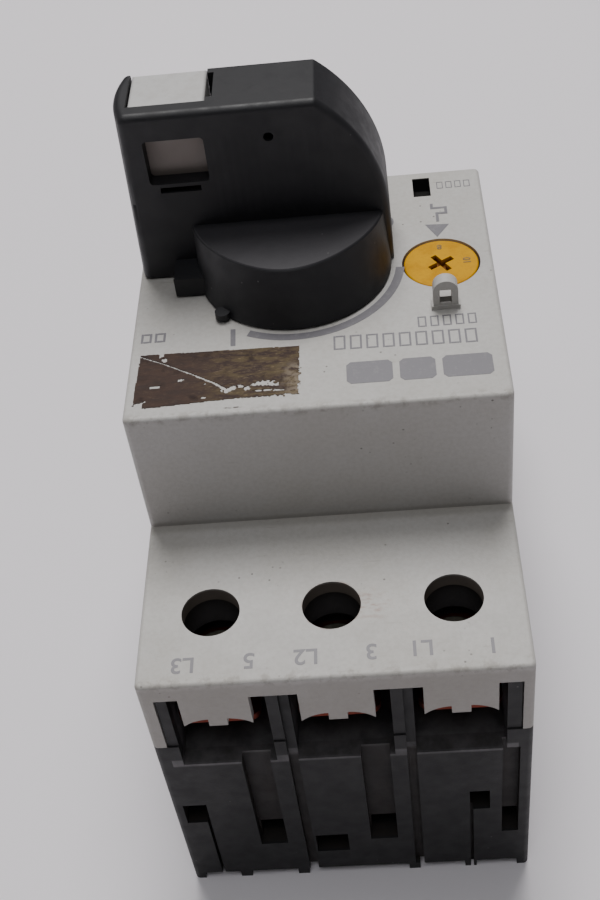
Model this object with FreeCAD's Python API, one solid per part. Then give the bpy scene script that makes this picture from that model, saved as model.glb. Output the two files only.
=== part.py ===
import FreeCAD, Part
import math
import os

# Three-pole motor protection breaker with a rotary handle, lying on its back.
# Millimetres. +Z points out of the front face, -Y to the line terminals,
# +X to the side of the current dial. The origin is the centre of the back.

Vector = FreeCAD.Vector

# Overall sizes
HALF_WIDTH = 22.5
HALF_LENGTH = 46.5
STEP_FACE = 45.5
RAISED_FACE = 64.0
RAISED_HALF = 22.5
POLE_PITCH = 14.2
POLES = (1, 2, 3)
ENDS = {"line": -1, "load": 1}

# Front cover
COVER_WALL = 1.4
COVER_TOP = 2.0
SKIRT_WALL = 1.3
SKIRT_BOTTOM = 33.0
TAB_BOTTOM = 37.15
NOTCH_TOP = 42.6
NOTCH_X = (4.3, 9.9)
OUTER_NOTCH = {-1: (-20.8, -18.0), 1: (18.4, 21.2)}
TAB_CENTRES = (-13.95, 0.0, 14.15)
SCREW_Y = 36.4
ACCESS_RADIUS = 3.45
GUIDE_RADIUS = 3.8

# Handle and its shaft, about the knob axis
KNOB_X = -2.4
KNOB_Y = 3.4
HANDLE_BOTTOM = 64.3
DISC_TOP = 72.0
DISC_RADIUS = 12.2
DISC_BACK_TOP_RADIUS = 11.4
DISC_EDGE = 0.25
GRIP_TOP = 88.0
GRIP_DEPTH = 9.6
GRIP_LEAN = 0.5
WING_FOOT = 20.1
WING_TOP = 19.35
WING_ROUND = 13.2
SHAFT_RADIUS = 4.2
SHAFT_BORE = 4.28
SQUARE = 6.0

# Top outline of the handle's disc in front of the grip, from left to right
DISC_TOP_OUTLINE = (
    (-12.15, 0.0),
    (-8.0, -6.9),
    (-0.4, -10.5),
    (6.7, -7.6),
    (11.6, 0.0),
)

# Padlock slide in the end of the grip
LOCK_X = (-17.5, -8.35)
LOCK_FRONT = 1.9
LOCK_BOTTOM = 67.0
LOCK_TOP = 87.65
LOCK_GAP = 0.15
WINDOW_X = (-16.1, -8.85)
WINDOW_Z = (78.4, 84.5)
LOCK_TRAVEL = 9.0

# Current dial and test slot
DIAL_X = 16.0
DIAL_Y = 2.3
DIAL_RADIUS = 4.7
DIAL_GAP = 0.22
EYELET_X = 15.95
EYELET_Y = -6.85
EYELET_DEPTH = 1.6
EYELET_TOP = 68.2
TEST_X = (13.4, 15.7)
TEST_Y = (16.75, 20.95)

# Snap windows along each side of the cover, and the shallow panel in each side of the base
SNAP_Y = (-33.0, -12.0, 12.0, 33.0)
SNAP_WIDTH = 5.0
SNAP_Z = (34.9, 37.3)
SNAP_GAP = 0.2
PANEL_DEPTH = 0.5
SLOT_DEPTH = 1.3

# Base housing
BASE_UPPER_HALF = 21.0
BASE_UPPER_END = 44.9
BASE_TOP = 43.3
LEDGE = 29.0
CHAMBER_WALL = 31.0
SIDE_WALL = 19.4
RIB_BEFORE = 0.95
RIB_STEP = 0.45
RIB_AFTER = 1.6
RIB_END = 46.3
FLOOR = 7.0
FOOT = 1.5
GROOVE_DEPTH = 1.5
INNER_HALF = 20.3
RAIL_HALF = 17.9
RAIL_DEPTH = 4.6
HOOK_REACH = 1.3
HOOK_THICKNESS = 3.2

# Terminals
PLATE_TOP = 30.6
PLATE_THICKNESS = 1.2
PLATE_END = 39.4
WASHER_BOTTOM = 35.2
WASHER_THICKNESS = 1.0
SCREW_HEAD_RADIUS = 3.1
SCREW_HEAD_HEIGHT = 1.9
SHANK_RADIUS = 1.95
THREAD_BORE = 2.0
SCREW_FOOT = 27.5

# Contacts, magnets and carrier
POLE_Y = -12.5
CARRIER_BOTTOM = 7.5
BRIDGE_BOTTOM = 12.4
CONTACT_BUTTON = 0.6
FIXED_BOTTOM = 17.9
STRIP = 1.2
YOKE_BOTTOM = 22.0
YOKE_TOP = 38.0
COIL_RADIUS = 4.8
BIMETAL_Y = 24.0


def box(x0, x1, y0, y1, z0, z1):
    """A block between two corners."""
    return Part.makeBox(x1 - x0, y1 - y0, z1 - z0, Vector(x0, y0, z0))


def rod(x, y, z0, z1, radius):
    """An upright cylinder."""
    return Part.makeCylinder(radius, z1 - z0, Vector(x, y, z0))


def joined(shapes):
    """The union of several solids, with its flush faces merged."""
    result = shapes[0]
    for shape in shapes[1:]:
        result = result.fuse(shape)
    return result.removeSplitter()


def without(shape, cutters):
    """The solid with each cutter taken away."""
    for cutter in cutters:
        shape = shape.cut(cutter)
    return shape


def rounded(shape, radius, wanted):
    """The solid with a fillet on each edge that the test picks."""
    edges = [edge for edge in shape.Edges if wanted(edge)]
    return shape.makeFillet(radius, edges)


def is_upright(edge):
    """True for an edge that runs along Z."""
    size = edge.BoundBox
    return size.XLength < 1e-6 and size.YLength < 1e-6


def flipped(shape, end):
    """The shape at the line end, or turned over to the load end."""
    if end < 0:
        return shape
    return shape.mirror(Vector(0, 0, 0), Vector(0, 1, 0))


def pole_x(pole):
    """The centre of a pole, counted from the left."""
    return (pole - 2) * POLE_PITCH


def coil_spring(x, y, z0, z1, radius, wire, turns):
    """A compression spring standing on Z, as short straight lengths of six-sided wire."""
    per_turn = 12
    sides = 6
    count = turns * per_turn
    rise = z1 - z0 - wire
    rings = []
    for step in range(count + 1):
        turn = 2 * math.pi * step / per_turn
        outward = Vector(math.cos(turn), math.sin(turn), 0)
        centre = Vector(x, y, z0 + wire / 2 + rise * step / count) + outward * radius
        corners = []
        for side in range(sides + 1):
            lean = 2 * math.pi * side / sides
            across = outward * (wire / 2 * math.cos(lean))
            corners.append(centre + across + Vector(0, 0, wire / 2 * math.sin(lean)))
        rings.append(Part.makePolygon(corners))
    return Part.makeLoft(rings, True, True)


def cross_recess(x, y, top, size, depth, angle):
    """Two crossed slots for a screwdriver."""
    arms = []
    for turn in (0, 90):
        arm = box(-size, size, -size * 0.22, size * 0.22, top - depth, top + 1)
        arm.rotate(Vector(0, 0, 0), Vector(0, 0, 1), angle + turn)
        arm.translate(Vector(x, y, 0))
        arms.append(arm)
    return joined(arms)


def wire_arc(side):
    """The shallow arch in a cover tab over one wire entry."""
    corner = Vector(side * (NOTCH_X[0] - 0.05), 0, TAB_BOTTOM)
    middle = Vector(side * 2.8, 0, 38.15)
    inner = Vector(side * 1.1, 0, 38.5)
    foot_in = Vector(side * 1.1, 0, 36.0)
    foot_out = Vector(side * (NOTCH_X[0] - 0.05), 0, 36.0)
    edges = [
        Part.Arc(corner, middle, inner).toShape(),
        Part.makeLine(inner, foot_in),
        Part.makeLine(foot_in, foot_out),
        Part.makeLine(foot_out, corner),
    ]
    face = Part.Face(Part.Wire(edges))
    return face.extrude(Vector(0, 4, 0))


def end_cutters():
    """What is cut from the cover's end wall at the line end."""
    outside = -HALF_LENGTH - 1
    inside = -HALF_LENGTH + 3
    cutters = []
    for side in (-1, 1):
        near, far = sorted((side * NOTCH_X[0], side * NOTCH_X[1]))
        cutters.append(box(near, far, outside, inside, 30, NOTCH_TOP))
        near, far = OUTER_NOTCH[side]
        cutters.append(box(near, far, outside, inside, 30, NOTCH_TOP))
    for x in TAB_CENTRES:
        cutters.append(box(x - NOTCH_X[0], x + NOTCH_X[0], outside, inside, 30, TAB_BOTTOM))
        for side in (-1, 1):
            arch = wire_arc(side)
            arch.translate(Vector(x, outside, 0))
            cutters.append(arch)
    return cutters


def seal_eyelet():
    """The small arched eye for a sealing wire, beside the dial."""
    x = EYELET_X
    front = EYELET_Y
    back = front + EYELET_DEPTH
    plinth = box(x - 1.75, x + 1.75, front - 0.1, back + 0.1, RAISED_FACE - 0.2, RAISED_FACE + 0.6)
    plate = box(x - 1.5, x + 1.5, front, back, RAISED_FACE, EYELET_TOP - 1.5)
    arch = Part.makeCylinder(1.5, EYELET_DEPTH, Vector(x, front, EYELET_TOP - 1.5), Vector(0, 1, 0))
    return joined([plinth, plate, arch])


def eyelet_hole():
    """The eye through the arch, with the slot below it through the cover."""
    x = EYELET_X
    front = EYELET_Y
    eye = box(x - 0.72, x + 0.72, front - 1, front + 3, RAISED_FACE + 0.9, RAISED_FACE + 2.9)
    slot = box(x - 0.72, x + 0.72, front + 0.3, front + 1.3, RAISED_FACE - 3, RAISED_FACE + 1)
    return joined([eye, slot])


def side_boxes(width, x0, x1, z0, z1, centres):
    """The same block on both sides of the breaker, at each place along Y."""
    boxes = []
    for side in (-1, 1):
        near, far = sorted((side * x0, side * x1))
        for y in centres:
            boxes.append(box(near, far, y - width / 2, y + width / 2, z0, z1))
    return boxes


def cover_shell():
    """The whole light shell: raised middle, two terminal steps and wire tabs."""
    body = box(-HALF_WIDTH, HALF_WIDTH, -HALF_LENGTH, HALF_LENGTH, SKIRT_BOTTOM, STEP_FACE)
    raised = box(-HALF_WIDTH, HALF_WIDTH, -RAISED_HALF, RAISED_HALF, SKIRT_BOTTOM, RAISED_FACE)
    body = joined([body, raised])
    body = rounded(body, 0.7, is_upright)

    def is_top_rim(edge):
        size = edge.BoundBox
        flat = size.ZLength < 1e-6
        return flat and (size.ZMin > RAISED_FACE - 0.01)

    def is_step_rim(edge):
        size = edge.BoundBox
        flat = size.ZLength < 1e-6 and abs(size.ZMin - STEP_FACE) < 0.01
        at_riser = abs(abs(size.Center.y) - RAISED_HALF) < 0.75
        return flat and not at_riser

    body = rounded(body, 0.5, is_top_rim)
    body = rounded(body, 0.5, is_step_rim)
    inner = HALF_WIDTH - SKIRT_WALL
    end = HALF_LENGTH - COVER_WALL
    riser = RAISED_HALF - COVER_WALL
    hollows = [
        box(-inner, inner, -end, end, SKIRT_BOTTOM - 1, STEP_FACE - COVER_TOP),
        box(-inner, inner, -riser, riser, SKIRT_BOTTOM - 1, RAISED_FACE - COVER_TOP),
    ]
    body = without(body, hollows)
    for end in ENDS.values():
        body = without(body, [flipped(cutter, end) for cutter in end_cutters()])
        for pole in POLES:
            hole = rod(pole_x(pole), end * SCREW_Y, STEP_FACE - 5, STEP_FACE + 1, ACCESS_RADIUS)
            body = body.cut(hole)
    face = RAISED_FACE
    collar = rod(KNOB_X, KNOB_Y, face - 5, face - COVER_TOP, SHAFT_BORE + 1.6)
    body = joined([body, collar, seal_eyelet()])
    openings = [
        rod(KNOB_X, KNOB_Y, face - 6, face + 1, SHAFT_BORE),
        rod(DIAL_X, DIAL_Y, face - 4, face + 1, DIAL_RADIUS + DIAL_GAP),
        box(TEST_X[0], TEST_X[1], TEST_Y[0], TEST_Y[1], face - 4, face + 1),
        eyelet_hole(),
    ]
    openings += side_boxes(SNAP_WIDTH, HALF_WIDTH - 2, HALF_WIDTH + 1, SNAP_Z[0], SNAP_Z[1], SNAP_Y)
    return without(body, openings)


def front_cover(shell):
    """The raised middle of the light shell."""
    return shell.common(box(-30, 30, -RAISED_HALF, RAISED_HALF, 0, 100))


def terminal_cover(shell, end):
    """The step of the light shell over one row of terminals."""
    return shell.common(flipped(box(-30, 30, -60, -RAISED_HALF, 0, 100), end))


def chamber_cutters():
    """The three wire chambers at the line end of the base."""
    outside = -HALF_LENGTH - 1
    wall = POLE_PITCH / 2
    spans = [
        (-SIDE_WALL, -wall - RIB_BEFORE),
        (-wall + RIB_AFTER, wall - RIB_BEFORE),
        (wall + RIB_AFTER, SIDE_WALL),
    ]
    cutters = [box(x0, x1, outside, -CHAMBER_WALL, LEDGE, BASE_TOP + 1) for x0, x1 in spans]
    return cutters


def screw_guides():
    """The dark tubes that lead a screwdriver to each line screw."""
    guides = []
    for pole in POLES:
        x = pole_x(pole)
        block = box(x - 5.4, x + 5.4, -41.6, -CHAMBER_WALL + 0.5, 38.9, BASE_TOP)
        guides.append(block.cut(rod(x, -SCREW_Y, 38, 44, GUIDE_RADIUS)))
    return guides


def end_wall_cutters():
    """Grooves, snap windows and the gaps between feet in the line end wall."""
    outside = -HALF_LENGTH - 1
    cutters = []
    for x0, x1, z0 in ((2.0, 5.5, 8.6), (18.9, 21.0, 9.0), (-12.4, -8.9, 8.6)):
        cutters.append(box(x0, x1, outside, -HALF_LENGTH + GROOVE_DEPTH, z0, LEDGE + 0.1))
        cutters.append(box(x0 + 0.2, x1, outside, -42.6, z0, z0 + 3.6))
    for side in (-1, 1):
        step = side * POLE_PITCH / 2 + RIB_STEP
        width = RIB_AFTER - RIB_STEP
        cutters.append(box(step, step + width, outside, -HALF_LENGTH + 0.9, 1.4, NOTCH_TOP))
    for x0, x1, edge in ((-21.2, -18.2, -18.4), (14.9, 17.4, 15.1)):
        cutters.append(box(x0, x1, outside, -44.0, 15.0, 19.3))
        cutters.append(box(edge - 0.2, edge + 0.2, outside, -45.6, -1, 15.3))
    cutters.append(box(-5.2, -1.0, outside, -44.0, 5.9, 10.1))
    feet = [-21.75, -15.4, -7.6, 7.4, 14.9, 21.75]
    for left, right in zip(feet[:-1], feet[1:]):
        cutters.append(box(left + FOOT / 2, right - FOOT / 2, outside, -43.8, -1, 1.4))
    return cutters


def latch_channel():
    """The T-shaped guide for the rail latch in the back."""
    wide = box(-6.4, 6.4, RAIL_HALF - 1, HALF_LENGTH + 1, 1.35, 3.45)
    narrow = box(-5.2, 5.2, RAIL_HALF - 1, HALF_LENGTH + 1, -1, 1.4)
    return joined([wide, narrow])


def base_housing():
    """The dark shell that holds the poles, the terminals and the rail seat."""
    lower = box(-HALF_WIDTH, HALF_WIDTH, -HALF_LENGTH, HALF_LENGTH, 0, SKIRT_BOTTOM - 0.05)
    lower = rounded(lower, 0.7, is_upright)
    upper = box(-BASE_UPPER_HALF, BASE_UPPER_HALF, -BASE_UPPER_END, BASE_UPPER_END, 30, BASE_TOP)
    body = joined([lower, upper])
    hollows = [
        box(-INNER_HALF, INNER_HALF, -41, 41, FLOOR, LEDGE - 2),
        box(-INNER_HALF, INNER_HALF, -29.2, 29.2, LEDGE - 3, BASE_TOP + 1),
        box(-INNER_HALF, INNER_HALF, -41, -20.3, 2.5, FLOOR + 1),
        box(-INNER_HALF, INNER_HALF, 20.3, 41, 5.6, FLOOR + 1),
    ]
    body = without(body, hollows)
    walls = []
    for side in (-1, 1):
        x = side * POLE_PITCH / 2
        wall = joined([
            box(x - 0.8, x + 0.8, -41.1, 41.1, 5.0, LEDGE - 2),
            box(x - 0.8, x + 0.8, -29.3, 29.3, LEDGE - 3, 38.0),
        ])
        slots = [
            box(x - 2, x + 2, -16.2, -8.8, FLOOR, 40),
            box(x - 2, x + 2, 22.5, 26.2, 33.5, 40),
        ]
        walls.append(without(wall, slots))
    body = joined([body] + walls)
    for end in ENDS.values():
        ribs = []
        for side in (-1, 1):
            wall = side * POLE_PITCH / 2
            rib = box(wall - RIB_BEFORE, wall + RIB_AFTER, -RIB_END, -44, LEDGE - 1, NOTCH_TOP - 0.2)
            outer = max(OUTER_NOTCH[side], key=abs) - side * 0.15
            x0, x1 = sorted((side * SIDE_WALL, outer))
            post = box(x0, x1, -RIB_END, -44, LEDGE - 1, NOTCH_TOP - 0.2)
            ribs += [flipped(rib, end), flipped(post, end)]
        body = without(body, [flipped(cutter, end) for cutter in chamber_cutters()])
        body = joined([body] + ribs + [flipped(guide, end) for guide in screw_guides()])
        body = without(body, [flipped(cutter, end) for cutter in end_wall_cutters()])
        for pole in POLES:
            x = pole_x(pole)
            body = body.cut(rod(x, end * SCREW_Y, LEDGE - 4, LEDGE + 0.4, 2.6))
            slot = box(x - 4.2, x + 4.2, -32, -28, LEDGE + 0.3, PLATE_TOP + 0.05)
            body = body.cut(flipped(slot, end))
            seat = box(x - 4.2, x + 4.2, -PLATE_END - 0.2, -30.9, LEDGE - 0.1, LEDGE + 0.4)
            body = body.cut(flipped(seat, end))
    lug_z = (SNAP_Z[0] + SNAP_GAP, SNAP_Z[1] - SNAP_GAP)
    lug_width = SNAP_WIDTH - 2 * SNAP_GAP
    lug_end = HALF_WIDTH - 0.3
    body = joined([body] + side_boxes(lug_width, BASE_UPPER_HALF - 0.5, lug_end, lug_z[0], lug_z[1], SNAP_Y))
    panel = side_boxes(26.0, HALF_WIDTH - PANEL_DEPTH, HALF_WIDTH + 1, 9.0, 25.0, (2.0,))
    slots = side_boxes(3.2, HALF_WIDTH - SLOT_DEPTH, HALF_WIDTH, 13.0, 20.0, (-6.0, 10.0))
    body = without(body, panel + slots)
    back = [
        box(-23, 23, -RAIL_HALF, RAIL_HALF, HOOK_THICKNESS, RAIL_DEPTH),
        box(-23, 23, -RAIL_HALF + HOOK_REACH, RAIL_HALF, -1, HOOK_THICKNESS + 0.1),
        latch_channel(),
        box(-2.4, 2.4, 30.0, 41.0, 3.4, 4.6),
    ]
    return without(body, back)


def rail_latch():
    """The sliding foot that grips the far edge of the rail."""
    bar = box(-5.0, 5.0, RAIL_HALF - HOOK_REACH, 46.2, 0.15, 1.5)
    flanges = box(-6.2, 6.2, RAIL_HALF + 0.3, 40.0, 1.5, 3.2)
    nose = box(-5.0, 5.0, RAIL_HALF - HOOK_REACH, RAIL_HALF + 1, 1.4, 3.1)
    spring_pocket = box(-1.9, 1.9, 29.5, 38.5, 0.9, 4)
    pull_slot = box(-2.6, 2.6, 42.6, 44.6, -1, 4)
    return without(joined([bar, flanges, nose]), [spring_pocket, pull_slot])


def latch_spring():
    """The spring that pushes the rail latch towards the rail."""
    spring = coil_spring(0, 0, 29.6, 38.4, 1.2, 0.5, 7)
    spring.rotate(Vector(0, 0, 0), Vector(1, 0, 0), -90)
    spring.translate(Vector(0, 0, 2.7))
    return spring


def grip_outline(y):
    """The flat outline of the grip, seen from the line end."""
    x = KNOB_X
    bottom = HANDLE_BOTTOM
    left_foot = Vector(x - WING_FOOT - 2, y, bottom)
    left_top = Vector(x - WING_TOP - 2, y, GRIP_TOP)
    right_top = Vector(x + 4.55, y, GRIP_TOP)
    shoulder = Vector(x + 9.6, y, 82.2)
    right_side = Vector(x + 12.4, y, 72.0)
    right_foot = Vector(x + 12.6, y, bottom)
    edges = [
        Part.makeLine(left_foot, left_top),
        Part.makeLine(left_top, right_top),
        Part.Arc(right_top, shoulder, right_side).toShape(),
        Part.makeLine(right_side, right_foot),
        Part.makeLine(right_foot, left_foot),
    ]
    return Part.Face(Part.Wire(edges))


def wing_limit():
    """The space right of the grip's long end, which is bowed and leans in towards the top."""
    lean = math.atan((WING_FOOT - WING_TOP) / (GRIP_TOP - HANDLE_BOTTOM))
    x = KNOB_X - WING_FOOT + WING_ROUND
    middle = Vector(x, KNOB_Y + GRIP_DEPTH / 2, HANDLE_BOTTOM)
    upward = Vector(math.sin(lean), 0, math.cos(lean))
    post = Part.makeCylinder(WING_ROUND, 40, middle - upward * 5, upward)
    return joined([post, box(x, 40, -40, 40, HANDLE_BOTTOM - 3, GRIP_TOP + 3)])


def grip():
    """The upright part of the handle, with a front that leans out at the top."""
    front = KNOB_Y - GRIP_LEAN
    body = grip_outline(front).extrude(Vector(0, GRIP_DEPTH + GRIP_LEAN, 0))
    body = body.common(wing_limit())
    lean = math.degrees(math.atan(GRIP_LEAN / (GRIP_TOP - HANDLE_BOTTOM)))
    shave = box(-40, 40, KNOB_Y - 5, KNOB_Y, HANDLE_BOTTOM - 2, GRIP_TOP + 2)
    shave.rotate(Vector(0, KNOB_Y, HANDLE_BOTTOM), Vector(1, 0, 0), lean)
    body = body.cut(shave)

    def at_wing_top(edge):
        size = edge.BoundBox
        level = size.ZLength < 0.01 and size.YLength > GRIP_DEPTH - 1
        return level and size.XMax < KNOB_X - 15 and size.ZMin > GRIP_TOP - 1

    def at_crest(edge):
        size = edge.BoundBox
        return size.XLength < 0.01 and size.ZLength < 0.01 and size.ZMin > 80 and size.XMin > KNOB_X

    def at_front(edge):
        size = edge.BoundBox
        return size.YMax < KNOB_Y + 0.01 and size.ZMax > HANDLE_BOTTOM + 1

    def at_back(edge):
        size = edge.BoundBox
        return size.YMin > KNOB_Y + GRIP_DEPTH - 0.01 and size.ZMax > HANDLE_BOTTOM + 1

    body = rounded(body, 1.0, at_wing_top)
    body = rounded(body, 0.6, at_crest)
    body = rounded(body, 0.85, at_front)
    return rounded(body, 0.85, at_back)


def disc_section(z, inset):
    """The outline of the disc's front near its top."""
    share = 1 - inset / DISC_RADIUS
    curve = Part.BSplineCurve()
    curve.interpolate([Vector(x * share, y * share, z) for x, y in DISC_TOP_OUTLINE])
    left = curve.value(curve.FirstParameter)
    right = curve.value(curve.LastParameter)
    return Part.Wire([curve.toShape(), Part.makeLine(right, left)])


def handle_disc():
    """The round foot of the handle, drawn in towards its top at the front."""
    foot = HANDLE_BOTTOM
    wide = DISC_RADIUS
    lower = Part.Wire([
        Part.Arc(Vector(-wide, 0, foot), Vector(0, -wide, foot), Vector(wide, 0, foot)).toShape(),
        Part.makeLine(Vector(wide, 0, foot), Vector(-wide, 0, foot)),
    ])
    edge = DISC_EDGE
    sections = [lower, disc_section(DISC_TOP - edge, 0), disc_section(DISC_TOP, edge)]
    front = Part.makeLoft(sections, True, True)
    back = Part.makeCone(wide, DISC_BACK_TOP_RADIUS, DISC_TOP - foot, Vector(0, 0, foot))
    back = back.common(box(-20, 20, -0.1, 20, foot, DISC_TOP))
    disc = front.fuse(back)
    disc.translate(Vector(KNOB_X, KNOB_Y, 0))
    return disc


def lock_cavity():
    """The space in the grip for the padlock slide, with its window and slots."""
    x0 = KNOB_X + LOCK_X[0]
    x1 = KNOB_X + LOCK_X[1]
    front = KNOB_Y + LOCK_FRONT
    back = KNOB_Y + GRIP_DEPTH
    gap = LOCK_GAP
    window = box(KNOB_X + WINDOW_X[0], KNOB_X + WINDOW_X[1], KNOB_Y - 2, front, WINDOW_Z[0], WINDOW_Z[1])
    window = rounded(window, 0.5, lambda e: e.BoundBox.XLength < 1e-6 and e.BoundBox.ZLength < 1e-6)
    bottom = LOCK_BOTTOM - 0.3
    return [
        box(x0 - gap, x1 + gap, front - gap, back + 1, bottom, GRIP_TOP + 1),
        window,
        box(x0 + 2.5, x1 - 1.7, KNOB_Y - 2, front, 77.1, 77.9),
        box(x1 - 0.2, x1 + 0.95, KNOB_Y + 2.6, KNOB_Y + 8.0, 74.0, GRIP_TOP + 1),
    ]


def rotary_handle():
    """The black handle: disc, offset grip, padlock cavity and window."""
    block = box(-17.4, -13.6, -0.8, KNOB_Y + 4, HANDLE_BOTTOM, HANDLE_BOTTOM + 2.6)
    nub = rod(-11.3, -5.5, HANDLE_BOTTOM, HANDLE_BOTTOM + 0.9, 0.95)
    body = joined([grip(), handle_disc(), block, nub])
    socket = SQUARE / 2 + 0.1
    mark = Part.makeCylinder(0.6, 1.8, Vector(KNOB_X - 1.2, KNOB_Y - 1, 83.8), Vector(0, 1, 0))
    seat = box(KNOB_X - socket, KNOB_X + socket, KNOB_Y - socket, KNOB_Y + socket, 60, 70.2)
    return without(body, lock_cavity() + [mark, seat])


def lock_slide():
    """The light slide that is pulled out to take a padlock."""
    x0 = KNOB_X + LOCK_X[0]
    x1 = KNOB_X + LOCK_X[1]
    front = KNOB_Y + LOCK_FRONT
    back = KNOB_Y + GRIP_DEPTH - 0.1
    body = box(x0, x1, front, back, LOCK_BOTTOM, LOCK_TOP)
    body = rounded(body, 0.4, lambda edge: edge.BoundBox.ZMin > LOCK_TOP - 0.01)
    groove = box(x0 - 1, x1 + 1, front - 1, front + 0.6, 76.6, 78.1)
    low = WINDOW_Z[0] - LOCK_TRAVEL
    high = WINDOW_Z[1] - LOCK_TRAVEL
    shackle = box(KNOB_X + WINDOW_X[0] + 0.2, KNOB_X + WINDOW_X[1] - 0.2, front - 1, back + 1, low, high)
    return without(body, [groove, shackle])


def operating_shaft():
    """The shaft under the handle, with a stepped face cam for the lever."""
    square = box(-SQUARE / 2, SQUARE / 2, -SQUARE / 2, SQUARE / 2, 62, 70)
    journal = rod(0, 0, 58.7, 64.2, SHAFT_RADIUS)
    drum = rod(0, 0, 54.0, 58.7, 7.0)
    stem = rod(0, 0, 50.0, 54.5, 2.0)
    steps = []
    count = 6
    for index in range(count):
        drop = 2.6 * (1 - index / count)
        wedge = Part.makeCylinder(7.0, drop + 0.5, Vector(0, 0, 54.0 - drop), Vector(0, 0, 1), 90 / count)
        wedge = wedge.cut(rod(0, 0, 45, 60, 4.6))
        wedge.rotate(Vector(0, 0, 0), Vector(0, 0, 1), -105 + index * 90 / count)
        steps.append(wedge)
    body = joined([square, journal, drum, stem] + steps)
    body.translate(Vector(KNOB_X, KNOB_Y, 0))
    return body


def switch_lever():
    """The rocker that carries the cam's lift to the contact carrier."""
    arm = box(-8.4, 6.8, -15.0, -4.4, 47.0, 49.6)
    left = box(-12.4, -10.4, -8.0, 20.0, 47.0, 50.0)
    right = box(5.6, 7.6, -8.0, 20.0, 47.0, 50.0)
    bridge = box(-12.4, 7.6, -8.0, -4.4, 47.0, 49.6)
    hub = Part.makeCylinder(2.6, 20.0, Vector(-12.4, 18.0, 48.5), Vector(1, 0, 0))
    bore = Part.makeCylinder(1.06, 30, Vector(-16, 18.0, 48.5), Vector(1, 0, 0))
    return joined([arm, left, right, bridge, hub]).cut(bore)


def latch_frame():
    """The steel frame around the mechanism, with the lever's pivot pin."""
    sides = [box(-15.2, -14.0, -12, 20.5, 44.0, 57.5), box(9.2, 10.4, -12, 20.5, 44.0, 57.5)]
    pin = Part.makeCylinder(1.0, 24.4, Vector(-14.6, 18.0, 48.5), Vector(1, 0, 0))
    tie = box(-14.6, 9.8, 19.2, 20.5, 53.0, 57.5)
    feet = [box(-15.2, -14.0, 17, 20.5, 38.2, 44.5), box(9.2, 10.4, 17, 20.5, 38.2, 44.5)]
    spring_seat = box(-14.6, -9.6, 5.0, 10.0, 56.3, 57.5)
    return joined(sides + feet + [pin, tie, spring_seat])


def contact_carrier():
    """The moving crossbar that carries the three contact bridges."""
    bar = box(-18.2, 18.2, -15.0, -10.0, CARRIER_BOTTOM, CARRIER_BOTTOM + 1.9)
    pieces = [bar]
    for side in (-1, 1):
        x = side * POLE_PITCH / 2
        pieces.append(box(x - 1.2, x + 1.2, -15.0, -10.0, CARRIER_BOTTOM, 46.7))
    pieces.append(box(-8.3, 8.3, -15.0, -10.0, 44.6, 46.7))
    for pole in POLES:
        x = pole_x(pole)
        for side in (-1, 1):
            lug = box(x + side * 3.8 - 0.6, x + side * 3.8 + 0.6, -15.0, -10.0, CARRIER_BOTTOM, 15.0)
            pieces.append(lug)
    return joined(pieces)


def contact_bridge(pole):
    """The moving contact of one pole, with a button at each end."""
    x = pole_x(pole)
    bar = box(x - 3.0, x + 3.0, -19.6, -5.4, BRIDGE_BOTTOM, BRIDGE_BOTTOM + STRIP)
    top = BRIDGE_BOTTOM + STRIP
    buttons = [rod(x, y, top - 0.1, top + CONTACT_BUTTON, 1.6) for y in (-17.8, -7.2)]
    return joined([bar] + buttons)


def contact_spring(pole):
    """The spring that presses one bridge on its fixed contacts."""
    return coil_spring(pole_x(pole), POLE_Y, CARRIER_BOTTOM + 1.9, BRIDGE_BOTTOM, 1.9, 0.6, 3)


def fixed_contacts(pole):
    """The two fixed contacts of one pole and their strips."""
    x = pole_x(pole)
    z = FIXED_BOTTOM
    line = joined([
        box(x - 3.0, x + 3.0, -21.2, -16.0, z, z + STRIP),
        box(x - 3.0, x + 3.0, -21.2, -20.0, z, 24.8),
        rod(x, -17.8, z - CONTACT_BUTTON, z + 0.1, 1.6),
    ])
    load = joined([
        box(x - 3.0, x + 3.0, -9.0, 20.8, z, z + STRIP),
        rod(x, -7.2, z - CONTACT_BUTTON, z + 0.1, 1.6),
    ])
    return Part.makeCompound([line, load])


def arc_chute(pole):
    """The stacks of steel plates that split the arc, one at each end."""
    x = pole_x(pole)
    plates = []
    for y0, y1 in ((-28.4, -22.0), (-3.6, 4.4)):
        for index in range(4):
            z = 8.6 + index * 2.1
            plates.append(box(x - 5.2, x + 5.2, y0, y1, z, z + 0.8))
    return Part.makeCompound(plates)


def magnet_coil(pole):
    """The short-circuit coil of one pole, with its two leads."""
    x = pole_x(pole)
    coil = rod(x, POLE_Y, YOKE_BOTTOM + 1.6, YOKE_TOP - 1.6, COIL_RADIUS)
    grooves = []
    for index in range(7):
        z = YOKE_BOTTOM + 2.6 + index * 1.75
        ring = rod(x, POLE_Y, z, z + 0.45, 6).cut(rod(x, POLE_Y, z - 1, z + 2, COIL_RADIUS - 0.45))
        grooves.append(ring)
    coil = without(coil, grooves)
    upper = box(x - 2.0, x + 2.0, -25.4, -14.0, PLATE_TOP, PLATE_TOP + STRIP)
    lower = box(x - 2.0, x + 2.0, -20.0, -14.0, 23.7, 24.8)
    body = joined([coil, upper, lower])
    return body.cut(rod(x, POLE_Y, YOKE_BOTTOM, YOKE_TOP, 2.1))


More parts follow.
